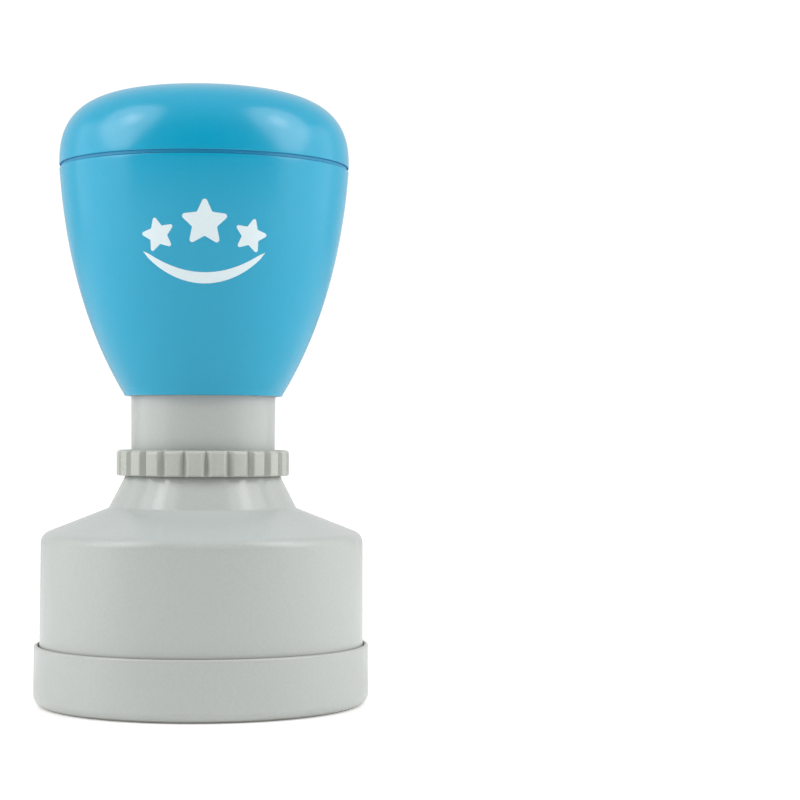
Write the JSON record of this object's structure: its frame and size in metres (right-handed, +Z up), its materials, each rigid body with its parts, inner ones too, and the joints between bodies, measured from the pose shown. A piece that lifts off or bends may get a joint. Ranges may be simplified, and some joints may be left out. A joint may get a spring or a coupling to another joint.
{
  "type": "pre-inked rubber stamp",
  "caption": "Round pre-inked hand stamp with a press-down handle, spring return, toothed depth ring, inked foam die and pull-off dust cap.",
  "frame": {"origin": "centre of the dust cap's flat underside, on the surface the stamp stands on", "axes": "+Z up along the stamp's axis, towards the handle; -Y is the front, +X to the right seen from the front"},
  "size_m": [0.048, 0.048, 0.0881],
  "materials": {
    "grey_plastic": "satin moulded",
    "blue_plastic": "semi-gloss moulded",
    "white_plastic": "satin moulded",
    "zinc_steel": "zinc plated",
    "spring_steel": "drawn wire",
    "black_rubber": "matte moulded",
    "ink_felt": "ink-soaked felt",
    "flash_foam": "fine open-cell foam"
  },
  "bodies": {
    "dust_cap": {"dust_cap": "grey_plastic"},
    "base": {"housing": "grey_plastic", "spring_seat": "zinc_steel", "return_spring": "spring_steel"},
    "ring": {"adjusting_ring": "grey_plastic"},
    "neck": {"neck_sleeve": "grey_plastic"},
    "handle": {"handle_shell": "blue_plastic", "handle_core": "white_plastic", "stem": "white_plastic", "nut_washer": "zinc_steel", "stem_nut": "zinc_steel", "ink_cell": "white_plastic", "stem_seal": "black_rubber", "ink_pad": "ink_felt", "foam_die": "flash_foam", "die_clamp": "grey_plastic"},
    "handle_cap": {"handle_cap": "blue_plastic"},
    "plug": {"refill_plug": "black_rubber"}
  },
  "joints": [
    {"name": "stamp_lift", "type": "slide", "parent": "dust_cap", "child": "base", "axis": [0, 0, 1], "range_m": [0, 0.01]},
    {"name": "handle_press", "type": "slide", "parent": "base", "child": "handle", "axis": [0, 0, -1], "range_m": [0, 0.0055], "stiffness_N_per_m": 1500, "springref_m": -0.004, "deforming": ["return_spring"]},
    {"name": "ring_turn", "type": "hinge", "parent": "base", "child": "ring", "pos_m": [0, 0, 0.0346], "axis": [0, 0, 1], "range_deg": [-180, 180]},
    {"name": "neck_lift", "type": "slide", "parent": "base", "child": "neck", "axis": [0, 0, 1], "range_m": [-0.00105, 0.00105]},
    {"name": "cap_lift", "type": "slide", "parent": "handle", "child": "handle_cap", "axis": [0, 0, 1], "range_m": [0, 0.007]},
    {"name": "plug_lift", "type": "slide", "parent": "handle", "child": "plug", "axis": [0, 0, 1], "range_m": [0, 0.007]}
  ],
  "couplings": [
    {"joint": "neck_lift", "follows": "ring_turn", "m_per_rad": 0.00031831}
  ]
}
